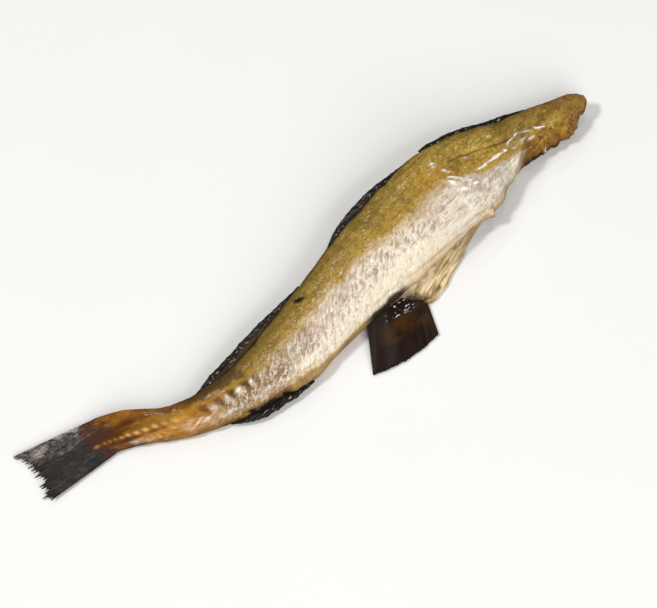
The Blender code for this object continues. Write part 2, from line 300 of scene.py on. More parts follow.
# Seen y of the line between the olive back and the silver belly, by seen x.
OLIVE_LINE = (
    (-90, -28), (-64, -27.5), (-48, -28), (-30, -24), (-15, -19.5), (0, -14), (15, -9.2), (30, -6.2),
    (45, -4.2), (58, -1.8), (66, 2), (72, 3), (80, 0.5), (90, -2.9), (100, -3.1), (112, -3.2),
)
# The line of the backbone's beads.
BEAD_LINE = (
    (-121, -15.5), (-116, -16.6), (-110, -17.5), (-105, -19.2), (-98.5, -20.8), (-94, -22),
    (-89.5, -23.2), (-85, -25), (-80, -26.3), (-74, -28.2), (-68, -29.2), (-58, -29.2), (-44, -28.8),
)
# How many beads lie between the tail and a place, by its seen x: they grow towards the belly.
BEAD_COUNT = (
    (-120, 0), (-112, 3.3), (-105, 6.2), (-99, 8), (-90, 10.3), (-80, 12.6), (-70.3, 14.5),
    (-63, 15.5), (-56.5, 16.5), (-50, 17.5), (-44.5, 18.5), (-38, 19.5),
)
# The crease along the side, over the shoulder.
LATERAL_CREASE = (
    (66, 11.2), (80, 10.8), (87, 10.2), (92, 9), (96, 7.8), (100, 6.6), (104, 5.5), (108, 5.2),
    (118, 4.4), (130, 2.6),
)
# The dark gully between the stalk's golden upper rim and its beads, by seen x and y.
GULLY = (
    (-120, -12.4), (-114, -13.4), (-110, -14.6), (-104, -14.4), (-97, -14.5), (-92, -16), (-88, -17.6),
    (-83, -19.2), (-78, -20.8), (-70, -22),
)
# The rusty strip along the stalk's lower edge.
RUST_LINE = (
    (-112, -25), (-105, -27.2), (-90, -31.4), (-80, -35.2), (-70, -38.8), (-62, -40.6),
)
# White wet membranes, their shine painted in as white highlights: their line, width, first and last x, and
# strength.
MEMBRANES_AND_SHEEN = (
    (((86, 0.3), (90, 0.1), (94, 0.2), (98, 0.6), (106, 0.9)), 0.55, 89.5, 103.5, 1.1),
    (((94, 1.2), (100, 1.4), (106, 1.9)), 0.3, 98, 103, 0.5),
    (((104, 0.8), (105.5, 2.8), (107.5, 3.9), (110, 4.7), (113, 5), (116, 4.4)), 0.4, 105.6, 114, 0.75),
    (((114, 5.1), (116.3, 4), (119.5, 2.4)), 0.45, 116, 118.2, 1.1),
    (((119.5, 3.6), (121.5, 2.8), (126, 0.5)), 0.52, 121.4, 123.8, 1.2),
    (((111, 1), (115, 1.1)), 0.5, 112.8, 113.8, 1),
    (((114, -0.7), (120, -0.3)), 0.55, 116.2, 117.8, 0.6),
    (((106, 0.4), (109, -0.2), (113, -0.4)), 0.4, 107.5, 112, 0.4),
)
# Short folds of wet skin whose glints are painted in as white highlights: x, y, slant, half length, half
# width and strength.
GLINTS = (
    (75.4, 2, -41, 2.7, 0.62, 1.4), (77.9, 3.2, -40, 1.8, 0.45, 1.3), (74.2, 13.9, -15, 1.1, 0.55, 1),
    (74, 12.1, -25, 0.9, 0.45, 0.9), (77, 8.3, -35, 0.8, 0.5, 0.9), (78.2, 6.5, -30, 1, 0.55, 0.8),
    (80.5, 0.6, -60, 0.9, 0.45, 0.7), (78.8, -4.7, -40, 1, 0.65, 1), (83.2, -2.5, -35, 1, 0.55, 0.9),
    (84.2, -5.4, -10, 0.9, 0.5, 0.9), (87.4, 8.6, -55, 1.1, 0.6, 0.5), (101.7, 11, -20, 0.9, 0.6, 0.45),
    (113.4, 7.3, 0, 0.6, 0.45, 0.7), (93.8, 10.6, -40, 1, 0.5, 0.3), (70.6, 10.9, 10, 0.8, 0.4, 0.5),
    (52, 9.4, 20, 0.7, 0.35, 0.4), (88, -6.6, 25, 2, 0.5, 0.6), (96, -4.4, 20, 2.4, 0.5, 0.5),
    (68, -5, 30, 1.6, 0.5, 0.4), (31, -3.6, 0, 1.4, 0.4, 0.5), (118.2, -9.6, 54, 1.5, 0.24, 1.1),
    (138.3, -6.6, 24, 1.7, 0.45, 0.8), (141, -5, 30, 0.8, 0.4, 0.6), (12.6, -7.4, 20, 1.6, 0.4, 0.5),
    (20.6, -6.6, 10, 1.2, 0.4, 0.5), (-59.4, -28.6, 75, 1, 0.6, 0.6), (-53.6, -29, 20, 1.4, 0.8, 0.9),
    (-47, -29.2, 70, 1.4, 0.6, 0.9), (-71.4, -32.5, 10, 0.9, 0.45, 0.6), (-62.2, -35.4, 15, 1, 0.4, 0.6),
    (-102, -24.6, -28, 2, 0.5, 0.5),
)
# The large bead by the tail, in the same terms.
FIRST_BEAD = ((-116.4, -16.6, 0, 1.7, 1.2, 1),)
# Lumps of the torn flap: x, y, height and width.
LUMPS = ((79, -4, 1.3, 2.2), (84, -5, 1.1, 1.9), (66, 7, 0.6, 1.6))
# Wrinkles of the belly: slant, length and width of a wrinkle, first and last x, and seed.
BELLY_SLANTS = (
    (48, 5, 1.1, -75, -28, 301),
    (54, 5, 1, -22, 26, 311),
    (58, 4.5, 1, 22, 60, 321),
    (20, 6.5, 1.2, 56, 112, 331),
)
# The lower border of the white belly above the spread fin, where black wet skin hangs out.
FRINGE_LINE = ((4, -35), (12, -32.6), (20, -31), (30, -29.4))
# The upper border of the golden skin along the keel.
GOLD_LINE = (
    (-66, -39), (-45, -40.4), (-30, -39.6), (-20, -39.4), (-10, -38), (0, -35.2), (8, -33.4),
)
# Dark skin at the foot of each folded fin: rear and front x, and how far it reaches round the back.
FIN_STAINS = ((6, 74, 1), (88, 126, 0.8), (-78, -12, 0.9))
# Folds: under the shoulder, along the flap and the belly's edge, and along the keel by the stalk.
UNDER_FOLD = ((84, -1.2), (90, -1.8), (98, -2.1), (105, -1.6), (111, -1.8))
BELLY_FOLDS = (
    ((14, -28.4), (26, -26.4), (44, -24.4), (64, -21.4)),
    ((60, -19.6), (72, -18), (84, -17.4), (94, -13.6)),
)
TAIL_FOLD = ((-74, -36), (-55, -36.6), (-35, -36.8), (-20, -36))


def off_line(points, line):
    """Signed distance across a line given as y(x), in seen millimetres."""
    return points[:, 1] - curve(line, points[:, 0])


def turned(points, degrees):
    """The points' coordinates along and across a direction in plan."""
    c = math.cos(math.radians(degrees))
    s = math.sin(math.radians(degrees))
    return np.column_stack([points[:, 0] * c + points[:, 1] * s, -points[:, 0] * s + points[:, 1] * c])


# ------------ the body's mesh

def faces_of_grid(rows, columns, closed):
    """Four-sided faces over points stored row by row, wrapping round each row if closed."""
    faces = []
    for i in range(rows - 1):
        for j in range(columns if closed else columns - 1):
            right = (j + 1) % columns
            faces.append((i * columns + j, i * columns + right,
                          (i + 1) * columns + right, (i + 1) * columns + j))
    return faces


def ring_places():
    """For each point of a ring, which control it follows and how far on towards the next."""
    return np.concatenate([i + np.arange(steps) / steps for i, steps in enumerate(RING_STEPS)])


def unit(vectors):
    return vectors / np.maximum(np.linalg.norm(vectors, axis=2, keepdims=True), 1e-9)


def grid_normals(grid):
    """Normals over a grid of closed rings, pointing out of the body."""
    around = np.roll(grid, -1, axis=1) - np.roll(grid, 1, axis=1)
    return unit(np.cross(around, np.gradient(grid, axis=0)))


def seen_grid(grid, places):
    """Seen coordinates of every point; the hidden underside takes those of the flank above it."""
    result = np.empty(grid.shape[:2] + (2,))
    flank = places < len(FLANK_STEPS)
    under = places >= UNDER_START
    for i, ring in enumerate(grid):
        height = ring[:, 2].copy()
        order = np.argsort(ring[flank, 1])
        height[under] = np.interp(ring[under, 1], ring[flank, 1][order], ring[flank, 2][order])
        result[i, :, 0] = ring[:, 0] + SEEN_SHIFT[0] * height
        result[i, :, 1] = ring[:, 1] + SEEN_SHIFT[1] * height
    return result


def strokes(s, marks):
    """Short oval marks, from 0 to 1: each row is x, y, slant, half length, half width and strength."""
    total = np.zeros(len(s))
    for x, y, slant, long, wide, strength in marks:
        local = turned(s - (x, y), slant)
        total += strength * np.exp(-(local[:, 0] / long) ** 2 - (local[:, 1] / wide) ** 2)
    return total


def moved(s, size, seed, far):
    """The places moved by noise up to far millimetres, so that what is drawn over them wanders."""
    return s + far * np.column_stack([noise(s / size, seed), noise(s / size, seed + 1)])


def spindle(x, start, end):
    """The half width of a long stain, from nothing at both ends to one in the middle."""
    return np.sqrt(held(np.sin(math.pi * held((x - start) / (end - start)))))


def body_masks(grid, places):
    """Where each kind of skin, flesh, stain and relief lies, from 0 to 1 for each point."""
    s = seen_grid(grid, places).reshape(-1, 2)
    p = grid.reshape(-1, 3)
    place = np.tile(places, len(grid))
    x, y = s[:, 0], s[:, 1]
    open_slit = curve(SLIT_SHARE, p[:, 0])
    nape = curve(NAPE_SHARE, p[:, 0])
    broad = fractal(s / 14, 11)
    blot = fractal(s / 6, 21)
    fine = fractal(s / 2.2, 31)
    tiny = noise(s / 0.9, 35)
    drawn = fractal(turned(s, 16) / (6, 1.1), 45)
    below = y - curve(OLIVE_LINE, x)
    over_beads = off_line(s, BEAD_LINE)
    loosely = over_beads + 0.8 * fine
    ridge_gap = np.minimum(place, RING_PLACES - place)

    def along(start, end, fade):
        """A stretch of the fish, by seen x."""
        return window(x, start, end, fade)

    # The kinds of skin and flesh.
    m = {}
    cut = np.interp(y, (-24, -22, -12, -3, 8), (60, 83, 105, 113.2, 119))
    in_front = soft(-0.9, 0.9, (x - cut + 2.2 * fine + tiny) / (1 + 5 * soft(-2.5, 3, y)))
    stalk = 1 - soft(-80, -56, x + 7 * blot + 4 * fine - 0.8 * (below + 8))
    blend_width = np.interp(x, (70, 94), (1, 0.3))
    above = soft(-4.4, 4, below / blend_width + 1.2 * broad + 1.4 * blot + 2.6 * drawn + tiny)
    inside = window(place, 8.6, 13.9, 0.5) * open_slit
    wall = window(place, 11.6, 15.9, 0.6) * open_slit
    face = held(window(place + 1.1 * blot + 0.7 * fine, 10.4, 16.2, 1.8) * nape)
    m["back"] = above * (1 - stalk)
    m["stalk"] = stalk
    m["flesh"] = held(face + in_front * (1 - above) * (1 - face)) * (1 - open_slit)
    m["shade"] = 0.8 * m["flesh"] * soft(-5, -10, y + 1.6 * fine)
    # Painted shadow: near-black along the nape's lower edge, where the raised flesh shades the floor.
    m["nape_shadow"] = m["flesh"] * along(106, 124, 4) * soft(-9, -11, y + 1.2 * fine)
    m["inside"] = inside * (1 - wall)
    m["wall"] = wall
    rear_wall = 0.85 * soft(36.5, 30, x + 0.9 * (y + 38) + 4 * fine)
    # Painted shade on the lower part of the belly's wall.
    shaded_low_wall = 0.55 * soft(13.9, 15.3, place + 0.5 * fine) * soft(48, 62, x)
    m["wall_end_and_shade"] = np.maximum(rear_wall, shaded_low_wall)
    m["silver"] = (1 - above) * (1 - stalk) * (1 - m["flesh"]) * (1 - inside) * (1 - wall)
    m["flap"] = soft(50, 68, x)
    m["worn"] = along(78, 104, 6) * m["silver"]

    # The belly's colours.
    m["crest"] = held(0.8 * belly_lines(s) + 0.2 * fine + 0.22 * tiny)
    pink = 0.45 * soft(0, 0.6, blot + 0.5 * broad) * soft(-16, -6, below)
    pink += 0.9 * along(58, 82, 6) * window(below, -6, 1, 3)
    pink += 0.5 * window(below, -6, -1, 4) * (1 - 0.8 * along(10, 50, 6))
    pink += 0.8 * along(72, 98, 6) * soft(5.4, 6.8, place + 0.5 * fine)
    pink += 0.5 * along(-8, 8, 6) * window(below, -9, -1, 2)
    pink += 0.6 * along(-72, -52, 8) * soft(-0.3, 0.4, fine + blot)
    pink += 0.9 * along(80, 92, 5) * window(below, -8, -2, 2.5)
    m["pink"] = held(pink)
    # The lower belly's whiter skin, with a painted sheen along its bright band over the fold.
    white_and_sheen = along(40, 71, 10) * window(y + 2 * blot, -26, -18, 6)
    white_and_sheen += 0.75 * along(98, 111, 5) * window(below, -12, -3, 2)
    white_and_sheen += 0.9 * along(91, 99, 4) * window(below + 1.5 * fine, -11.5, -6.5, 1.6)
    white_and_sheen += 0.7 * along(76, 93, 5) * window(below + 1.5 * fine, -20, -10.5, 2.5)
    white_and_sheen += along(-28, 50, 10) * window(below + 2 * blot, -28, -16, 7)
    m["white_and_sheen"] = held(white_and_sheen * (0.95 + 0.3 * blot))
    comb = along(-56, 4, 14) * window(below, -17, -1, 3)
    comb += 0.5 * along(4, 50, 12) * window(below, -15, -5, 4)
    m["comb"] = held(comb)
    mottle = along(-80, -44, 20) + 0.5 * along(-40, -16, 8) * window(below, -9, -1, 3)
    m["mottle"] = held(mottle) * soft(-1.1, -0.1, blot + 0.6 * fine + 0.3 * tiny)
    ribs = soft(0.2, 0.38, 0.5 - np.abs(bead_phase(s)) - 0.1 * fine)
    m["ribs"] = 0.7 * ribs * along(-68, -46, 4) * bell(over_beads + 1.2 + 0.6 * blot, 1.7)

    # White films of wet skin, with their shine and the glints of wet folds painted in as white highlights.
    wander = moved(s, 2.4, 41, 0.5)
    membrane_and_glint = sum(strength * bell(off_line(wander, line), wide) * along(start, end, 1.5)
                   for line, wide, start, end, strength in MEMBRANES_AND_SHEEN)
    membrane_and_glint += strokes(wander, GLINTS)
    membrane_and_glint *= np.clip(0.9 + 0.8 * noise(wander / 1.7, 43) + 0.6 * fine, 0, 1.3)
    over_fold = off_line(wander, TAIL_FOLD) + 0.5 * blot
    fold_reach = along(-62, -24, 8)
    membrane_and_glint += 0.4 * bell(over_fold - 0.3, 0.8) * fold_reach * soft(-0.6, 0.3, drawn + fine)
    membrane_and_glint += 0.06 * along(106, 117, 2.5) * window(y, -1, 3.4, 1.2) * soft(-0.6, 0.6, drawn + fine)
    membrane_and_glint += 0.3 * along(76, 86, 4) * window(y, -6, 0, 2.5) * soft(-0.3, 0.6, fine + tiny)
    m["membrane_and_glint"] = held(membrane_and_glint)

    # Golden rims: of the slit, of the folds, of the keel and under the shoulder, where the line also paints
    # the shade under its fold.
    rim = np.exp(-((place - 7.5) / 0.75) ** 2) * open_slit
    folds = sum(bell(off_line(s, line) + 0.8 + 0.3 * fine, 0.55) * along(line[0][0], line[-1][0], 4)
                for line in BELLY_FOLDS)
    rim += 0.65 * folds * (1 - wall) * held(0.6 + 0.9 * blot)
    keel_rim = soft(6.5, 7.6, place + 0.5 * fine) * (1 - soft(17, 18, place))
    keel_rim *= (1 - open_slit) * (1 - nape)
    gold = soft(0.9, -0.9, off_line(s, GOLD_LINE) + 0.8 * fine) * along(-62, 6, 4) * (place < 17.5)
    rim += keel_rim + gold
    # The fold's golden-brown edge under the shoulder, with the shade under the fold painted in.
    rim += 0.9 * bell(off_line(s, UNDER_FOLD), 0.8) * along(88, 107, 3)
    rim += 0.7 * bell(over_fold + 1.5, 0.7) * fold_reach
    m["rim"] = held(rim)

    # Black skin: the spot on the side, the wet skin by the slit, and the feet of the folded fins.
    dark = 0.95 * soft(0.2, 0.7, bell(np.hypot((x + 9) / 2.4, (y + 8) / 1.3), 1) + 0.25 * fine)
    dark += 0.9 * along(26, 32, 3) * window(y, -40, -35, 1.6) * soft(-0.5, 0.2, fine)
    dark += 0.95 * bell(y - np.interp(x, (28, 43), (-41, -38.8)), 0.9) * along(29, 42, 1.5)
    fringe = soft(0.9, -0.5, off_line(s, FRINGE_LINE) + 0.7 * fine)
    dark += 0.95 * along(12, 27, 7) * fringe * soft(4, 5, place) * (1 - soft(9, 11, place))
    keel_stain = np.abs(place - 9.4) / (2.4 * spindle(x, -68, -26) + 0.02)
    dark += 0.9 * soft(1.25, 0.75, keel_stain + 0.45 * fine)
    low_stain = soft(-39.6, -42, y + 1.2 * fine + 0.9 * blot + 0.5 * tiny) * along(-58, -38, 6)
    dark += 0.8 * low_stain * (place < 12)
    round_ridge = np.where(place > RING_PLACES / 2, place - RING_PLACES, place)
    for rear, front, reach in FIN_STAINS:
        stain = np.abs(round_ridge - 0.8) / (reach * spindle(x, rear, front) + 0.02)
        dark += 0.9 * soft(1.3, 0.7, stain + 0.35 * fine)
    m["dark"] = held(dark)

    # Dusky skin: along the ridge, between the ribs, on the shoulder and the nape, and painted shade in the
    # crease.
    dusk_and_shade = 0.75 * bell(ridge_gap + 0.5 * fine, 1.7) * along(-84, 150, 8)
    dusk_and_shade *= 1 - 0.65 * along(66, 78, 3) - 0.5 * along(133, 146, 4)
    away = np.abs(bead_phase(moved(s, 3, 49, 0.8))) + 0.06 * fine
    tooth = soft(-0.16, 0.14, away - 0.5 + np.interp(over_beads, (-3, 3), (0.06, 0.3)) + 0.12 * blot)
    tooth *= window(over_beads + 0.9 * fine + 1.2 * blot, -2.4, 1.8, 1.5)
    by_x = np.interp(x, (-80, -64, -45, -20, 60, 80), (0, 0.85, 0.55, 0.42, 0.14, 0))
    dusk_and_shade += by_x * above * soft(0.5, 5.5, below + 1.2 * fine)
    dusk_and_shade += 0.65 * along(-72, -54, 8) * soft(2.5, 5.5, below + 1.6 * fine)
    dusk_and_shade += 0.35 * soft(0, 0.7, blot + 0.4 * fine) * above
    dusk_and_shade += 0.42 * along(108, 134, 8) * soft(1, 7, y + 2 * blot)
    dusk_and_shade += 0.34 * along(105, 123, 4) * window(y + 0.8 * blot, -3, 4, 1.5)
    dusk_and_shade += 0.6 * soft(131, 140, x + 2 * blot) * soft(-0.3, 0.4, fine + blot + 0.1)
    dusk_and_shade += 0.45 * along(116, 126, 3) * soft(-1, -4, y + 1.5 * blot) * soft(-0.3, 0.5, fine + blot)
    # Painted shade: a dark line in the crease over the shoulder.
    dusk_and_shade += 0.7 * bell(off_line(wander, LATERAL_CREASE), 0.5) * along(82, 108, 4)
    dusk_and_shade += 0.8 * tooth * along(-56, -46, 4)
    dusk_and_shade += held(keel_rim + gold) * np.clip(0.3 + 0.5 * blot + 0.4 * drawn, 0, 0.8)
    m["dusk_and_shade"] = held(dusk_and_shade)
    ember = 0.7 * along(66, 77, 4) * window(y, 6.5, 11, 3) * soft(-0.5, 0.4, drawn + 0.4 * fine)
    ember += 0.6 * along(-26, 112, 10) * window(below, 0, 5, 4) * soft(-0.1, 0.5, drawn)
    m["ember"] = held(ember)

    # The stalk: beads, blood beside them, the maroon root of the tail, and silvery skin with a painted
    # highlight.
    m["bead"] = np.maximum(bead_pattern(s), 0.8 * strokes(s, FIRST_BEAD))
    bare = 1 - m["bead"]
    bent = moved(s, 3.1, 77, 1.6)
    flow = fractal(turned(bent, -14) / (6, 1.1), 75)
    streaks = fractal(turned(bent, -8) / (5, 0.9), 71)
    gully = bell(off_line(s, GULLY) + 0.5 * fine, 2.1) * along(-120, -74, 6)
    gully *= np.interp(x, (-120, -115, -98, -90, -70), (0.4, 1, 1, 0.7, 0.3))
    spread = soft(1.2, -0.4, (x + 104) / 8 + 0.9 * blot + 1.1 * flow)
    red = 0.9 * spread * window(loosely, -7, -1.4, 1.2)
    red += 0.75 * spread * window(loosely, -1, 3, 1.5) * bare
    red += 0.5 * along(-104, -91, 6) * window(loosely, -2, 3, 1.5) * bare
    red += gully * soft(-0.9, 0, flow + 0.3)
    red += 0.8 * along(-117, -107, 4) * window(loosely, 0.8, 6, 2)
    red += 0.75 * tooth * along(-71, -58, 4)
    red += 0.6 * along(-74, -40, 6) * bell(y + 40.6, 1.2) * soft(-0.3, 0.3, fine)
    red += 0.5 * along(-112, -64, 5) * bell(off_line(s, RUST_LINE) + 0.6 * blot, 1.7)
    m["red"] = held(red) * (1 - 0.7 * m["bead"])
    root = soft(0, 1, (-119.5 - x) / 5 + 0.5 + 1.4 * streaks + 0.5 * tiny)
    m["root"] = root * (0.75 + 0.25 * soft(-116, -122, x)) * (1 - 0.9 * m["bead"])
    plum = -107 - 3 * soft(-10, -6, y) - x - 9 * bell(over_beads, 2.4) - 3 * soft(0, -4, over_beads)
    m["plum"] = soft(0, 1, plum / 6 + 0.5 + 0.7 * streaks + 0.5 * fine) * (1 - 0.9 * m["bead"])
    m["across"] = held((-3 - y) / 21)
    m["low_stalk"] = (1 - soft(-4, -1, over_beads + 1.5 * fine)) * held(0.75 + 0.4 * fine)
    m["golden"] = along(-98, -48, 5) * window(over_beads + 0.5 * fine, 1.6, 4, 1.2) * soft(-0.9, 0, flow)
    # Silvery skin below the beads, with a painted pink-white highlight.
    silvering_and_sheen = along(-104, -96, 2.5) * bell(over_beads + 5.4, 1.4)
    silvering_and_sheen += 0.8 * along(-78, -50, 7) * bell(over_beads + 5.4, 3)
    m["silvering_and_sheen"] = held(silvering_and_sheen * soft(-0.7, 0.4, drawn + 0.6 * blot) * stalk)

    # The nape's tip and jelly, and how wet the skin is.
    m["tip"] = soft(124, 142, x + 4 * blot + 3 * fine)
    m["amber"] = along(116, 133, 4) * window(y, -7, 1, 2.5) * soft(-0.6, 0.2, blot + 0.5 * fine)
    m["wet"] = (0.25 + 0.75 * soft(0.8, 3.2, ridge_gap)) * (1 - 0.8 * m["root"]) * (1 - 0.5 * m["flesh"])
    m["wet"] *= (1 - 0.55 * m["back"]) * (1 - 0.5 * m["stalk"]) * (1 - 0.6 * m["dusk_and_shade"])
    return m, s, place


def belly_lines(s):
    """The belly's wrinkles, from 0 in the troughs to 1 on the crests; their slant turns along the fish."""
    warp = moved(s, 8, 131, 1.6)
    total = np.zeros(len(s))
    reach = np.zeros(len(s))
    for slant, long, wide, start, end, seed in BELLY_SLANTS:
        share = window(s[:, 0], start, end, 12)
        total += share * ridged(fractal(turned(warp, slant) / (long, wide), seed, 2))
        reach += share
    return total / np.maximum(reach, 1e-6)


def bead_pattern(s):
    """The backbone's beads, from 0 to 1, as they show through the stalk: fainter towards the tail."""
    aside = off_line(s, BEAD_LINE)
    size = np.interp(s[:, 0], (-115, -95, -80), (0.8, 1.1, 1.4))
    bead = np.exp(-(bead_phase(s) / 0.3) ** 2 - (aside / size) ** 2) + 0.15 * bell(aside, 1.2)
    reach = window(s[:, 0], -119, -84, 9) * np.interp(s[:, 0], (-120, -110, -102), (0.35, 0.55, 1))
    return held(bead) * reach


def bead_phase(s):
    """How far along from the nearest bead a place is, in shares of their pitch."""
    phase = curve(BEAD_COUNT, s[:, 0] + 0.1 * off_line(s, BEAD_LINE))
    return phase - np.round(phase)


def body_relief(masks, s, place, p):
    """How far the skin stands out of the smooth form, in millimetres."""
    x, y = s[:, 0], s[:, 1]
    shown = window(place, 0.4, 6.9, 0.6)
    edges = window(place, 6.5, 15.5, 0.6)
    below = y - curve(OLIVE_LINE, x)

    relief = 0.45 * fractal(s / 24, 101) + 0.22 * fractal(s / 9, 111)
    relief += 0.1 * fractal(s / 2.6, 121) * (0.5 + 0.9 * masks["silver"])
    wrinkled = masks["silver"] * (1 - 0.5 * masks["white_and_sheen"]) * (1 - 0.8 * masks["rim"])
    relief += 0.52 * (belly_lines(s) - 0.45) * (wrinkled + 0.1 * masks["stalk"])
    relief += 0.07 * noise(turned(s, 14) / (1.5, 0.9), 165)
    relief += 0.3 * fractal(turned(s, 24) / (2.8, 1.1), 141, 2) * masks["worn"]
    long_lines = ridged(fractal(turned(s, 14) / (16, 2.2), 161, 2))
    relief += 0.12 * (long_lines - 0.4) * masks["back"]
    chevron = np.cos(2 * math.pi * (x + 0.7 * np.abs(below + 7) + noise(s / 7, 171)) / 3.1)
    relief += 0.16 * chevron * window(x, -66, -18, 12) * window(below, -18, -2, 3)

    relief += 0.75 * masks["bead"]
    relief -= 0.45 * bell(off_line(s, LATERAL_CREASE), 0.8) * window(x, 72, 128, 6)
    relief -= 0.4 * bell(off_line(s, UNDER_FOLD), 0.9) * window(x, 86, 110, 4)
    relief += 0.4 * bell(off_line(s, TAIL_FOLD), 0.9) * window(x, -68, -24, 8)
    for line, wide, start, end, strength in MEMBRANES_AND_SHEEN:
        relief += 0.4 * strength * bell(off_line(s, line), 1.4 * wide) * window(x, start, end, 3)
    for fold in BELLY_FOLDS:
        aside = off_line(s, fold)
        reach = window(x, fold[0][0] + 2, fold[-1][0] - 2, 6)
        relief += (0.45 * bell(aside, 0.8) - 0.3 * bell(aside + 1.1, 0.5)) * reach
    relief += 0.35 * strokes(s, [(*mark[:4], 1.3 * mark[4], mark[5]) for mark in GLINTS])
    for lump_x, lump_y, tall, wide in LUMPS:
        relief += 0.5 * tall * bell(np.hypot(x - lump_x, y - lump_y), wide)

    flesh = (0.6 * fractal(p / 5, 181) + 0.38 * fractal(p / 1.9, 191)) * masks["flesh"]
    fan = ridged(fractal(turned(p, 30) / (14, 1.8), 201, 2))
    wall = (0.22 * fan + 0.06 * fractal(p / 3, 205)) * masks["wall"]
    cut_open = curve(SLIT_SHARE, p[:, 0]) + curve(NAPE_SHARE, p[:, 0])
    return relief * shown + (flesh + wall) * held((edges + shown * masks["flesh"]) * cut_open)


def fold_edges(grid, places):
    """The small sideways forms of the belly's edge: waves, the skin's notch and the wall's ragged tips."""
    x = grid[:, :, 0]
    place = np.tile(places, (len(grid), 1))
    slit = curve(SLIT_SHARE, x)
    nape = curve(NAPE_SHARE, x)

    def wave(size, seed):
        return noise(x.reshape(-1, 1) / size, seed).reshape(x.shape)

    hook = bell(x - NOTCH_X, np.where(x < NOTCH_X, 2, 0.6))
    aside = (0.7 * wave(7, 211) + 0.4 * wave(2.6, 212) - 1.5 * hook) * window(place, 7, 9, 0.7) * slit
    aside += 0.35 * wave(4, 213) * window(place, 6, 11, 1.4) * (1 - slit) * (1 - nape)
    aside += (0.8 * wave(3.4, 214) + 0.5 * wave(1.4, 215) + 0.5) * window(place, 12.6, 16.4, 1) * nape
    aside -= 1.6 * soft(137, 142, x) * window(place, 12, 16.6, 4)
    aside += 0.5 * wave(5, 221) * window(place, 13.6, 16, 0.8) * slit * window(x, 30, 60, 6)
    result = grid.copy()
    result[:, :, 1] += aside
    return result


def tail_rays(grid):
    """The bases of the tail's rays, raised on the end of the body."""
    y = grid[:, :, 1]
    low = y.min(axis=1, keepdims=True)
    high = y.max(axis=1, keepdims=True)
    rays = np.cos(2 * math.pi * TAIL_ROOT_RAYS * (high - y) / (high - low))
    return TAIL_RAY_HEIGHT * rays * soft(104, 116, -grid[:, :, 0])


def tapered_tail(ring, length, count):
    """Rings that carry the body's end on, ever flatter, into the tail fin; the last one first."""
    middle = ring[:, 1].mean()
    rings = []
    for share in np.linspace(1, 0, count, endpoint=False):
        row = ring.copy()
        row[:, 0] -= length * share
        row[:, 1] = middle + (row[:, 1] - middle) * (1 - 0.04 * share)
        row[:, 2] *= 1 - 0.75 * share
        rings.append(row)
    return rings


def make_body(material):
    xs = np.append(np.arange(TAIL_END_X, NAPE_END_X, STATION_STEP), NAPE_END_X)
    rings = [section(x) for x in xs]
    grid = np.array(tapered_tail(rings[0], TAIL_REACH, TAIL_RINGS) + rings)
    places = ring_places()
    masks, s, place = body_masks(grid, places)
    relief = body_relief(masks, s, place, grid.reshape(-1, 3)).reshape(grid.shape[:2])
    relief += tail_rays(grid) * window(places, 0.6, 6.9, 0.6)
    relief *= window(grid[:, :, 0], TAIL_END_X - 1, NAPE_END_X - 1, 3)
    grid = fold_edges(grid, places)
    grid = grid + grid_normals(grid) * relief[:, :, None]
    grid[:, :, 2] = np.maximum(grid[:, :, 2], 0)

    # The nape's end is closed by NAPE_CAPS, ever smaller rings, and one face; the tail's by one face.
    rows, size = grid.shape[:2]
    last = grid[-1]
    middle = last.mean(axis=0)
    caps = [middle + (last - middle) * share + (bulge, 0, 0) for share, bulge in NAPE_CAPS]
    faces = faces_of_grid(rows + len(caps), size, closed=True)
    faces.append(tuple((rows + len(caps) - 1) * size + j for j in range(size)))
    faces.append(tuple(range(size - 1, -1, -1)))
    values = {name: np.concatenate([mask] + [mask[-size:]] * len(caps)) for name, mask in masks.items()}
    return make_piece("pollock_body", np.vstack([grid.reshape(-1, 3), *caps]), faces, material, values)


def make_piece(name, points, faces, material, attributes):
    """A visible piece from points in plan millimetres, with its float attributes, riding on the fish."""
    mesh = bpy.data.meshes.new(name)
    mesh.from_pydata(((np.asarray(points) - PLAN_MIDDLE) * MM).tolist(), [], faces)
    mesh.validate()
    for key, values in attributes.items():
        layer = mesh.attributes.new(key, "FLOAT", "POINT")
        layer.data.foreach_set("value", np.asarray(values, np.float32))
    mesh.materials.append(material)
    mesh.polygons.foreach_set("use_smooth", [True] * len(mesh.polygons))
    piece = bpy.data.objects.new(name, mesh)
    bpy.context.scene.collection.objects.link(piece)
    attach(piece, BODY)
    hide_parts(NODE)
    return piece


# ------------ fins

# Columns of points to each ray.
RAY_COLUMNS = 8
# How steeply the back's folded fins rise from the level, and how deep they are rooted.
BACK_LEAN = math.radians(18)
ROOT_DEPTH = 1.6
# The least height of a fin's upper face over the floor.
LEAST_HEIGHT = 0.12
# The back's fins: name, front and rear x, height along the fin, how many rays, the share of it
# that is free at its rear, how far that part stands off, seed, and the skin's share of the rays.
BACK_FINS = (
    ("fin_back_front", 121, 69, ((0, 0.8), (0.2, 2.4), (0.55, 3.1), (0.9, 2), (1, 0.8)), 15, 0.25, 1, 1, 0.3),
    ("fin_back_middle", 62, 11, ((0, 0.5), (0.3, 2.2), (0.6, 3), (0.85, 2.3), (1, 0.6)), 15, 0, 0, 2, 0.3),
    ("fin_back_rear", -9, -72, ((0, 0.6), (0.25, 2.5), (0.55, 4.4), (0.8, 3.6), (1, 0.6)), 17, 0, 0, 3, 0.55),
)


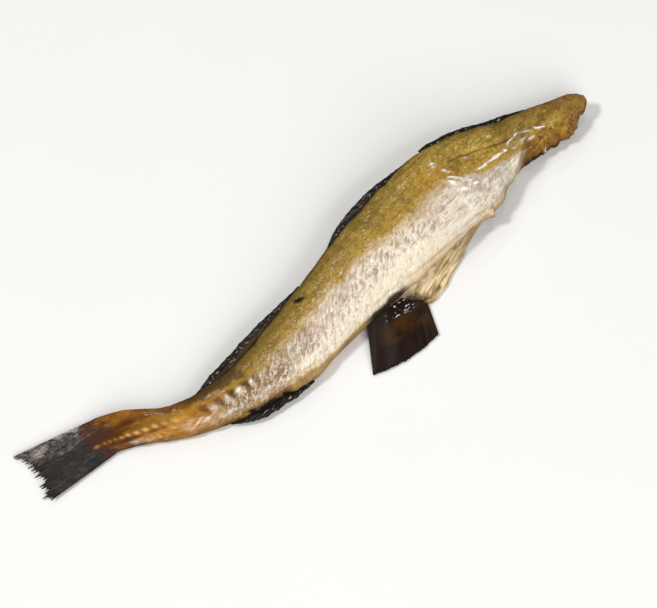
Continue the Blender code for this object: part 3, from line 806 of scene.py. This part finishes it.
def ray_blade(name, roots, tips, rays, rows, thickness, seed, material, ragged,
              slant=0, depth=0.5, skin=0.05):
    """A fin of rays joined by thin skin, as thick as thickness says at its root and at its end.

    ragged is how deep its end is notched between the rays, how far the rays differ in length,
    and how far they wave. slant is how many rays' width a ray leans back from root to tip,
    depth the share of the thickness that the rays stand out by, and skin the share of their
    length that brown skin covers."""
    notch, fray, wave = ragged
    columns = len(roots)
    share = np.linspace(0, 1, columns)
    out = np.linspace(0, 1, rows)
    rng = np.random.default_rng(seed)
    whole = np.arange(-int(slant) - 2, rays + 2)
    jitter = rng.random(len(whole)) * 0.6 - 0.3
    short = rng.random(len(whole)) * fray
    lift = (rng.random(len(whole)) * 2 - 1) * wave
    phase = share[None] * (rays - 1) - slant * out[:, None]
    phase = phase + np.interp(phase, whole, jitter)
    ray = bell(phase - np.round(phase), 0.26)
    reach = 1 - np.interp(phase[-1], whole, short) - notch * (1 - ray[-1])
    middle = roots[None] + (tips - roots)[None] * (out[:, None] * reach[None])[:, :, None]
    middle[:, :, 2] += out[:, None] ** 1.5 * np.interp(phase, whole, lift)
    normal = unit(np.cross(np.gradient(middle, axis=1), np.gradient(middle, axis=0)))
    normal *= np.where(normal[:, :, 2:3] < 0, -1, 1)
    thick = thickness[0] + (thickness[1] - thickness[0]) * out
    half = normal * (0.5 * thick[:, None] * (1 - depth + depth * ray))[:, :, None]
    upper = middle + half
    lower = middle - half
    upper[:, :, 2] = np.maximum(upper[:, :, 2], LEAST_HEIGHT)
    lower[:, :, 2] = np.maximum(lower[:, :, 2], 0)
    count = rows * columns
    faces = faces_of_grid(rows, columns, closed=False)
    faces += [tuple(reversed([i + count for i in face])) for face in faces]
    numbers = np.arange(count).reshape(rows, columns)
    rim = [*numbers[0], *numbers[1:, -1], *numbers[-1, -2::-1], *numbers[-2:0:-1, 0]]
    rim = [int(i) for i in rim]
    for a, b in zip(rim, rim[1:] + rim[:1]):
        faces.append((b, a, a + count, b + count))
    attributes = {
        "ray": np.tile(ray.ravel(), 2),
        "skin": np.tile(np.repeat(soft(1.15 * skin, 0.75 * skin, out), columns), 2),
        "out": np.tile(np.repeat(out, columns), 2),
        "across": np.tile(share, 2 * rows),
    }
    points = np.vstack([upper.reshape(-1, 3), lower.reshape(-1, 3)])
    return make_piece(name, points, faces, material, attributes)


def fin_shares(rays):
    """The places of a fin's columns of points, from 0 to 1 along its root."""
    return np.linspace(0, 1, rays * RAY_COLUMNS + 1)


def make_back_fin(material, name, front, rear, profile, rays, loose, stand_off, seed, skin):
    share = fin_shares(rays)
    height = curve(profile, share)
    free = smooth((0, 1 - loose, 1), (0, 0, 1), share) if loose else np.zeros(len(share))
    outwards = np.array([0, math.cos(BACK_LEAN), math.sin(BACK_LEAN)])
    roots = np.array([fin_foot(front + (rear - front) * u) for u in share]) - outwards * ROOT_DEPTH
    roots += np.outer(free * (ROOT_DEPTH + stand_off), outwards)
    tips = roots + np.outer(height + ROOT_DEPTH * (1 - free), outwards)
    tips[:, 0] -= 0.5 * height
    ray_blade(name, roots, tips, rays, 12, (2, 0.6), seed, material, (0.03, 0.08, 0.25),
              slant=3.4, depth=0.35, skin=skin)


def make_fins(skin_black, fin_brown, tail_grey):
    for row in BACK_FINS:
        make_back_fin(skin_black, *row)

    share = fin_shares(18)
    bow = np.sin(math.pi * share)
    roots = np.array([keel(37 - 30 * u) for u in share])
    roots[:, 1] += 3
    roots[:, 2] *= 0.2 + 0.8 * soft(0.2, 0.7, share)
    tips = np.column_stack([28 - 33.6 * share, -58.5 - 2.4 * bow, np.full(len(share), 0.7)])
    ray_blade("fin_belly_front", roots, tips, 18, 28, (1.3, 0.45), 4, fin_brown, (0.008, 0.02, 0.15),
              slant=1.5, depth=0.05)

    share = fin_shares(14)
    roots = np.array([keel(-27 - 39 * u) for u in share])
    height = smooth((0, 0.3, 0.65, 1), (0.8, 2.6, 3.2, 0.8), share)
    tips = roots + np.column_stack([-0.5 * height, -height, -0.15 * height])
    roots[:, 1] += 2
    ray_blade("fin_belly_rear", roots, tips, 14, 12, (1.8, 0.6), 5, skin_black, (0.04, 0.12, 0.3),
              slant=3, depth=0.35)

    share = fin_shares(24)
    bow = np.sin(math.pi * share)
    roots = np.column_stack([-111 + 3 * bow, -6.2 - 18.2 * share, np.full(len(share), 1.9)])
    tips = np.column_stack([-149.5 + 3.4 * bow, 0.2 - 28.2 * share, 1.3 + 0.3 * np.sin(share * 19)])
    ray_blade("fin_tail", roots, tips, 24, 34, (2.4, 0.5), 6, tail_grey, (0.05, 0.1, 0.5), depth=0.35)


# ------------ materials

class Shader:
    """Builds one material's nodes. Its methods give output sockets, and take masks by their names."""

    def __init__(self, name):
        self.material = bpy.data.materials.new(name)
        self.material.use_nodes = True
        self.tree = self.material.node_tree
        self.surface = self.tree.nodes["Principled BSDF"].inputs
        place = self.tree.nodes.new("ShaderNodeTexCoord").outputs["Object"]
        self.place = self.mapped(place, (1000, 1000, 1000))

    def put(self, socket, value):
        """Links an output or a mask to the socket, or sets its constant."""
        if isinstance(value, str):
            value = self.node("Attribute", {}, "Fac", attribute_name=value)
        if isinstance(value, bpy.types.NodeSocket):
            self.tree.links.new(value, socket)
        elif socket.type == "RGBA":
            socket.default_value = (*value, 1)
        else:
            socket.default_value = value

    def node(self, kind, inputs, output=0, **settings):
        node = self.tree.nodes.new("ShaderNode" + kind)
        for name, value in settings.items():
            setattr(node, name, value)
        for key, value in inputs.items():
            self.put(node.inputs[key], value)
        return node.outputs[output]

    def mapped(self, vector, scale=(1, 1, 1), turn=0):
        turned_by = (0, 0, math.radians(turn))
        return self.node("Mapping", {"Vector": vector, "Rotation": turned_by, "Scale": scale})

    def grain(self, size, stretch=1, turn=0, detail=3, rough=0.55):
        """Noise whose features are size millimetres wide, drawn out by stretch along turn degrees."""
        vector = self.mapped(self.place, turn=-turn)
        vector = self.mapped(vector, (1 / (size * stretch), 1 / size, 1 / size))
        return self.node("TexNoise", {"Vector": vector, "Scale": 1, "Detail": detail, "Roughness": rough})

    def cells(self, size):
        return self.node("TexVoronoi", {"Vector": self.mapped(self.place, (1 / size,) * 3), "Scale": 1})

    def math(self, operation, a, b, clamp=False):
        return self.node("Math", {0: a, 1: b}, operation=operation, use_clamp=clamp)

    def times(self, product, *factors):
        for factor in factors:
            product = self.math("MULTIPLY", product, factor)
        return product

    def ramp(self, value, low, high, start=0, end=1):
        """The value from low to high, softly stretched over start to end."""
        inputs = {"Value": value, "From Min": low, "From Max": high, "To Min": start, "To Max": end}
        return self.node("MapRange", inputs, interpolation_type="SMOOTHSTEP")

    def blend(self, share, a, b):
        return self.node("Mix", {"Factor": share, 6: a, 7: b}, 2, data_type="RGBA")

    def layers(self, colour, *rows):
        """Layers over the first colour: each row is a layer's colour and the factors of its share."""
        for layer, *factors in rows:
            colour = self.blend(self.times(*factors), colour, layer)
        return colour

    def bump(self, height, distance, strength=1):
        """Raises the surface by up to distance millimetres where height is one."""
        return self.node("Bump", {"Strength": strength, "Distance": distance * MM, "Height": height})

    def finish(self, colour, roughness, normal, **constants):
        self.put(self.surface["Base Color"], colour)
        self.put(self.surface["Roughness"], roughness)
        self.put(self.surface["Normal"], normal)
        for name, value in constants.items():
            self.surface[name.replace("_", " ")].default_value = value
        return self.material


OLIVE = (0.35, 0.222, 0.03)
OLIVE_GOLD = (0.46, 0.3, 0.052)
OLIVE_BROWN = (0.19, 0.108, 0.016)
OLIVE_DARK = (0.06, 0.032, 0.007)
EMBER = (0.42, 0.205, 0.018)
FLECK_AND_GLINT = (0.8, 0.72, 0.52)
SILVER = (0.74, 0.64, 0.51)
# The lower belly's whiter skin, which also carries a painted sheen.
WHITE = (0.82, 0.735, 0.575)
WHITE_COOL = (0.83, 0.79, 0.71)
# White of the wet films, also used for painted glints and highlights.
MEMBRANE_AND_GLINT_WHITE = (0.95, 0.95, 0.95)
BELLY_DEEP = (0.39, 0.3, 0.205)
PINK_GREY = (0.52, 0.41, 0.325)
BELLY_GOLD = (0.64, 0.45, 0.18)
MOTTLE = (0.225, 0.132, 0.058)
AMBER = (0.385, 0.165, 0.015)
AMBER_DARK = (0.21, 0.072, 0.008)
AMBER_PALE = (0.47, 0.215, 0.047)
BONE_GOLD = (0.72, 0.42, 0.12)
STALK_GOLD = (0.35, 0.178, 0.018)
BLOOD = (0.055, 0.013, 0.003)
RIM_GOLD = (0.47, 0.265, 0.06)
WALL_GOLD = (0.5, 0.345, 0.15)
WALL_PALE = (0.78, 0.62, 0.39)
# Dark brown of the slit's inside; it also paints shade on the lower part of the belly's wall.
INSIDE = (0.15, 0.07, 0.018)
# Near-black of the shadow painted under the nape.
NAPE_SHADOW = (0.045, 0.02, 0.007)
FLESH = (0.29, 0.145, 0.018)
FLESH_DARK = (0.17, 0.078, 0.012)
FLESH_PALE = (0.56, 0.38, 0.15)
JELLY = (0.44, 0.225, 0.026)
# Pale strands of the belly's pattern, also painted as small glints.
STRAND_AND_GLINT = (0.9, 0.86, 0.78)
NAPE_BROWN = (0.245, 0.135, 0.03)
NEAR_BLACK = (0.012, 0.008, 0.006)
FIN_BLACK = (0.01, 0.006, 0.004)
FIN_GREY = (0.03, 0.022, 0.015)
FIN_SKIN = (0.062, 0.035, 0.01)
FIN_BROWN = (0.011, 0.0045, 0.0016)
FIN_GLOW = (0.05, 0.021, 0.005)
TAIL_BLACK = (0.022, 0.018, 0.015)
# Grey of the tail's dry skin together with its painted sheen.
TAIL_GREY = (0.42, 0.375, 0.34)
TAIL_ROOT = (0.06, 0.026, 0.02)


def back_colour(s, middle):
    """Olive-gold skin, mottled brown and streaked lengthwise, with dark specks and pale scale flecks painted
    in as glints.
    """
    mottling = s.grain(2.4, detail=5, rough=0.72)
    grains = s.grain(0.9, 1.8, 14, rough=0.7)
    drawn = s.grain(2.6, 8, 14, detail=4, rough=0.6)
    return s.layers(
        OLIVE,
        (OLIVE_GOLD, s.ramp(middle, 0.35, 0.66)),
        (OLIVE_BROWN, s.ramp(mottling, 0.48, 0.68, 0, 0.8)),
        (OLIVE_BROWN, s.ramp(drawn, 0.5, 0.64, 0, 0.55)),
        (OLIVE_GOLD, s.ramp(drawn, 0.44, 0.32, 0, 0.6)),
        (EMBER, "ember", s.ramp(mottling, 0.3, 0.55)),
        (OLIVE_BROWN, s.ramp(grains, 0.52, 0.66, 0, 0.75)),
        # Pale scale flecks, painted in as glints of the wet skin.
        (FLECK_AND_GLINT, s.ramp(grains, 0.44, 0.28, 0, 0.55)))


def belly_colour(s, middle, strands):
    """Silvery skin: pale crests over deeper troughs, pink in places, whiter below with a painted sheen,
    mottled to the tail, and glints painted in as pale flecks.
    """
    crest = s.math("ADD", s.times("crest", 0.25), s.times(strands, 0.75))
    worn = s.grain(1.1, 2.4, 24, detail=4, rough=0.7)
    combed = s.grain(0.95, 5, 54, detail=2)
    return s.layers(
        BELLY_DEEP,
        (SILVER, s.ramp(crest, 0.34, 0.56)),
        (PINK_GREY, "pink", s.ramp(middle, 0.3, 0.6, 0.25, 0.7)),
        (s.blend("flap", WHITE, WHITE_COOL), "white_and_sheen", s.ramp(crest, 0.34, 0.52, 0.74, 1)),
        (BELLY_GOLD, s.ramp(s.grain(7), 0.52, 0.72, 0, 0.22)),
        (MOTTLE, "mottle", s.ramp(crest, 0.62, 0.46, 0.55, 1)),
        (BELLY_DEEP, "worn", s.ramp(worn, 0.47, 0.62, 0, 0.75)),
        (BELLY_DEEP, s.ramp(s.grain(0.7, detail=1), 0.6, 0.72, 0, 0.25)),
        (STRAND_AND_GLINT, "comb", s.ramp(combed, 0.52, 0.68, 0, 0.55)),
        (MOTTLE, "comb", s.ramp(combed, 0.44, 0.32, 0, 0.55)),
        # Painted glints: fine pale flecks over the belly.
        (STRAND_AND_GLINT, s.ramp(s.grain(0.7, 6, 50, detail=1), 0.62, 0.7, 0, 0.4)))


def stalk_colour(s, middle):
    """Amber skin over the tail's root, with the backbone's beads, a pale silvery lower side and silvery
    streaks that carry a painted highlight.
    """
    streaks = s.grain(0.8, 5, -20, detail=4)
    return s.layers(
        AMBER,
        (AMBER_DARK, s.ramp(middle, 0.35, 0.65)),
        (AMBER_PALE, "low_stalk"),
        (AMBER_DARK, s.ramp(streaks, 0.48, 0.64, 0, 0.7)),
        (SILVER, "low_stalk", s.ramp(streaks, 0.45, 0.33, 0, 0.45)),
        (STALK_GOLD, "golden", 0.75),
        (BONE_GOLD, "bead", 0.75),
        (SILVER, "silvering_and_sheen", s.ramp(s.grain(1.8, 3, -20), 0.3, 0.6, 0.2, 0.9)))


def nape_colour(s, fine):
    """Cut flesh: golden brown, dark in its folds, pale on its ragged crests, with a clear amber jelly."""
    folds = s.grain(2.6, detail=5, rough=0.75)
    blotches = s.grain(4, 1.6, -30, detail=4, rough=0.7)
    return s.layers(
        FLESH,
        (FLESH_DARK, s.ramp(folds, 0.42, 0.57)),
        (OLIVE_DARK, s.ramp(blotches, 0.52, 0.62, 0, 0.7)),
        (JELLY, "amber", s.ramp(folds, 0.56, 0.44)),
        (FLESH_PALE, s.ramp(fine, 0.55, 0.7, 0, 0.6)))


def tail_colour(s):
    """Dark dry skin between the tail's rays under loose grey skin with a painted sheen, stronger by the upper
    edge.
    """
    streaks = s.grain(1.2, 2.2, -8, detail=4, rough=0.75)
    clumps = s.grain(5, 1.6, -8)
    grey_skin_and_sheen = s.times(s.ramp(streaks, 0.38, 0.6), s.ramp(clumps, 0.38, 0.6, 0.2, 1))
    grey_skin_and_sheen = s.math("MULTIPLY", grey_skin_and_sheen, s.ramp("across", 0.55, 0.1, 0.12, 1.6), clamp=True)
    gaps = s.ramp(s.grain(0.8, detail=2), 0.54, 0.64, 0, 0.7)
    return s.layers(TAIL_BLACK, (TAIL_GREY, grey_skin_and_sheen), (NEAR_BLACK, gaps))


def skin_material():
    s = Shader("moist_skin")
    middle = s.grain(4.5, 2, 14)
    fine = s.grain(1.3, 1.6, 40)
    grit = s.grain(0.55, detail=2)
    steep = s.grain(1.15, 5, 52, detail=2)
    level = s.grain(1.05, 6, 17, detail=2)
    strands = s.math("ADD", s.times(steep, s.math("SUBTRACT", 1, "flap")), s.times(level, "flap"))

    wall = s.layers(
        WALL_GOLD,
        (WALL_PALE, s.ramp(s.grain(1.1, 10, 27), 0.42, 0.58)),
        (OLIVE_BROWN, s.ramp(s.grain(2.2, 5, 27), 0.48, 0.62, 0, 0.6)),
        # Dark at the wall's rear end, and painted shade low on the wall.
        (INSIDE, "wall_end_and_shade"))
    tip = s.layers(
        NAPE_BROWN,
        (FLESH_DARK, s.ramp(s.grain(2.6, detail=5, rough=0.75), 0.44, 0.62)),
        (FLESH_PALE, s.ramp(s.grain(1.1, detail=2), 0.56, 0.68, 0, 0.45)))
    colour = s.layers(
        belly_colour(s, middle, strands),
        (back_colour(s, middle), "back"),
        (STALK_GOLD, "golden", 0.6),
        (stalk_colour(s, middle), "stalk"),
        (RIM_GOLD, "rim", 0.85),
        (nape_colour(s, fine), "flesh"),
        (FLESH_DARK, "shade", s.ramp(middle, 0.3, 0.6, 0.45, 0.85)),
        (NAPE_SHADOW, "nape_shadow"),
        (INSIDE, "inside"),
        (wall, "wall"),
        (OLIVE_DARK, "dusk_and_shade", 0.85),
        (tip, "tip", s.ramp(middle, 0.35, 0.6, 0.7, 1)),
        (BLOOD, "red", 0.85),
        (SILVER, "ribs", s.ramp(grit, 0.3, 0.6, 0.35, 0.9)),
        # Painted highlights: the white films and the glints of wet skin.
        (MEMBRANE_AND_GLINT_WHITE, "membrane_and_glint", s.ramp(grit, 0.3, 0.5, 0.25, 1)),
        (NEAR_BLACK, "dark"),
        (TAIL_ROOT, "plum", s.ramp(fine, 0.3, 0.6, 0.7, 1)),
        (tail_colour(s), "root"))

    height = s.math("ADD", s.times(fine, 0.5), s.times(grit, 0.24))
    height = s.math("ADD", height, s.times(s.cells(0.9), 0.18))
    height = s.math("ADD", height, s.times(strands, "silver", 0.9))
    roughness = s.math("SUBTRACT", s.ramp(middle, 0.3, 0.7, 0.55, 0.7), s.times("wet", 0.2))
    s.put(s.surface["Coat Weight"], s.times("wet", 0.6))
    return s.finish(colour, roughness, s.bump(height, 0.5), Coat_Roughness=0.12, IOR=1.33)


def folded_fin_material():
    """Black fin folded on itself, with white specks painted in as glints along its rays."""
    s = Shader("folded_fin")
    streaks = s.grain(0.6, 3, 10)
    specks = s.ramp(s.grain(0.8, 1.8, 14, detail=1), 0.6, 0.72, 0, 0.45)
    colour = s.layers(
        FIN_BLACK,
        (FIN_GREY, "ray", s.ramp(streaks, 0.4, 0.65)),
        # Painted glints: white specks along the fin.
        (MEMBRANE_AND_GLINT_WHITE, specks, s.ramp("out", 0.95, 0.6, 0.15, 1)),
        (OLIVE_DARK, s.ramp(s.grain(5), 0.52, 0.66, 0, 0.4)),
        (FIN_SKIN, "skin", s.ramp(streaks, 0.3, 0.55, 0.4, 1)))
    normal = s.bump(s.math("ADD", streaks, s.times(s.grain(0.5), 0.6)), 0.4)
    return s.finish(colour, s.ramp(streaks, 0.3, 0.7, 0.28, 0.46), normal,
                    Coat_Weight=0.2, Coat_Roughness=0.14, IOR=1.33)


def spread_fin_material():
    """Thin dark skin over faint rays, which glows amber near its middle."""
    s = Shader("spread_fin")
    streaks = s.grain(0.8, 12, 62)
    clouds = s.grain(9)
    glow = s.times(s.ramp("out", 0.95, 0.45), s.ramp("across", 0.95, 0.55), s.ramp(clouds, 0.4, 0.62))
    edge = s.times(s.ramp("across", 0.12, 0), s.ramp(streaks, 0.3, 0.7), 0.5)
    ragged = s.math("ADD", "out", s.times(clouds, 0.25))
    fringe = s.times(s.ramp(ragged, 0.52, 0.4), s.ramp("across", 0.9, 0.6))
    sparkle = s.ramp(s.grain(0.8, 4, 12, detail=1), 0.62, 0.72)
    colour = s.layers(
        FIN_BROWN,
        (FIN_GLOW, s.math("ADD", glow, edge, clamp=True)),
        (FIN_GREY, s.ramp(s.grain(0.6, detail=1), 0.66, 0.76, 0, 0.5)),
        (NEAR_BLACK, fringe),
        # Painted glints: white sparkles on the black fringe.
        (MEMBRANE_AND_GLINT_WHITE, fringe, sparkle, s.ramp("across", 0.75, 0.6)))
    normal = s.bump(s.math("ADD", s.times(streaks, 0.2), s.times(clouds, 1.5)), 0.3, 0.6)
    return s.finish(colour, 0.46, normal, Coat_Weight=0.06, Coat_Roughness=0.2, IOR=1.3)


def tail_fin_material():
    """Dry dark rays in loose grey clumps of skin and painted sheen, brown by the root and black at the edges.
    """
    s = Shader("tail_fin")
    streaks = s.grain(0.8, 4, -8, detail=4, rough=0.7)
    specks = s.grain(0.7, detail=2)
    from_root = s.math("ADD", "out", s.times(streaks, 0.14))
    colour = s.layers(
        tail_colour(s),
        (NEAR_BLACK, s.ramp("out", 0.72, 1, 0, 0.75)),
        (TAIL_ROOT, s.ramp(from_root, 0.34, 0.22)))
    normal = s.bump(s.math("ADD", streaks, s.times(specks, 0.6)), 0.4)
    return s.finish(colour, s.ramp(specks, 0.3, 0.7, 0.4, 0.6), normal,
                    Coat_Weight=0.15, Coat_Roughness=0.2, IOR=1.4)


def floor_material():
    s = Shader("pale_floor")
    colour = s.blend(s.grain(60), (0.8, 0.8, 0.79), (0.82, 0.82, 0.81))
    return s.finish(colour, 0.75, s.bump(s.grain(2), 0.02))


# ------------ floor, lights and camera

# The photograph's line of sight in the fish's frame: towards the camera, and the picture's right and up.
TO_CAMERA = Vector((-0.2454, -0.4862, 0.8387))
LEVEL_RIGHT = Vector((0.8927, -0.4506, 0))
LEVEL_UP = Vector((0.3779, 0.7487, 0.5446))
ROLL = math.radians(9)
LENS = 200
SENSOR = 36
VIEW_WIDTH = 0.276
AIM = Vector((-0.001, 0.001, 0.008))
FLOOR_HALF = 2.5
FLOOR_Z = -0.0003


def make_floor():
    mesh = bpy.data.meshes.new("floor")
    corners = [(x * FLOOR_HALF, y * FLOOR_HALF, 0) for x, y in ((-1, -1), (1, -1), (1, 1), (-1, 1))]
    mesh.from_pydata(corners, [], [(0, 1, 2, 3)])
    mesh.materials.append(floor_material())
    floor = bpy.data.objects.new("floor", mesh)
    bpy.context.scene.collection.objects.link(floor)
    floor.location = (0, 0, FLOOR_Z)
    floor.visible_glossy = False


def make_camera():
    right = LEVEL_RIGHT * math.cos(ROLL) - LEVEL_UP * math.sin(ROLL)
    up = LEVEL_RIGHT * math.sin(ROLL) + LEVEL_UP * math.cos(ROLL)
    turn = Matrix((right, up, TO_CAMERA)).transposed().to_4x4()
    data = bpy.data.cameras.new("camera")
    data.lens = LENS
    data.sensor_width = SENSOR
    distance = VIEW_WIDTH * LENS / SENSOR
    camera = bpy.data.objects.new("camera", data)
    camera.matrix_world = Matrix.Translation(AIM + TO_CAMERA * distance) @ turn
    bpy.context.scene.collection.objects.link(camera)
    bpy.context.scene.camera = camera


def make_light(name, direction, distance, size, power, colour, glossy=True):
    """A square lamp aimed at the fish; without glossy it softens the shadows but adds no reflection."""
    data = bpy.data.lights.new(name, "AREA")
    data.shape = "SQUARE"
    data.size = size
    data.energy = power
    data.color = colour
    lamp = bpy.data.objects.new(name, data)
    place = Vector(direction).normalized() * distance
    lamp.location = place
    lamp.rotation_euler = place.to_track_quat("Z", "Y").to_euler()
    lamp.visible_glossy = glossy
    bpy.context.scene.collection.objects.link(lamp)


def make_lights():
    make_light("key", (-0.5, 0.12, 0.86), 2.5, 0.43, 32, (1, 0.985, 0.96), glossy=False)
    make_light("fill", (-0.2, -1, 0.7), 2.5, 1.6, 47, (1, 0.99, 0.98), glossy=False)
    for number, slant in enumerate((-0.75, -0.35, 0.05, 0.45, 0.8)):
        direction = (0.22 - 0.5 * abs(slant) * (number % 2), slant, 0.85)
        make_light(f"glint_{number}", direction, 1.4, 0.11, 1.1, (0.97, 0.985, 1))
    world = bpy.data.worlds.new("studio")
    bpy.context.scene.world = world
    world.use_nodes = True
    back = world.node_tree.nodes["Background"]
    back.inputs["Color"].default_value = (1, 1, 1, 1)
    back.inputs["Strength"].default_value = 0.16
    world.cycles_visibility.glossy = False
    bpy.context.scene.view_settings.view_transform = "Standard"


make_body(skin_material())
make_fins(folded_fin_material(), spread_fin_material(), tail_fin_material())
make_floor()
make_lights()
make_camera()
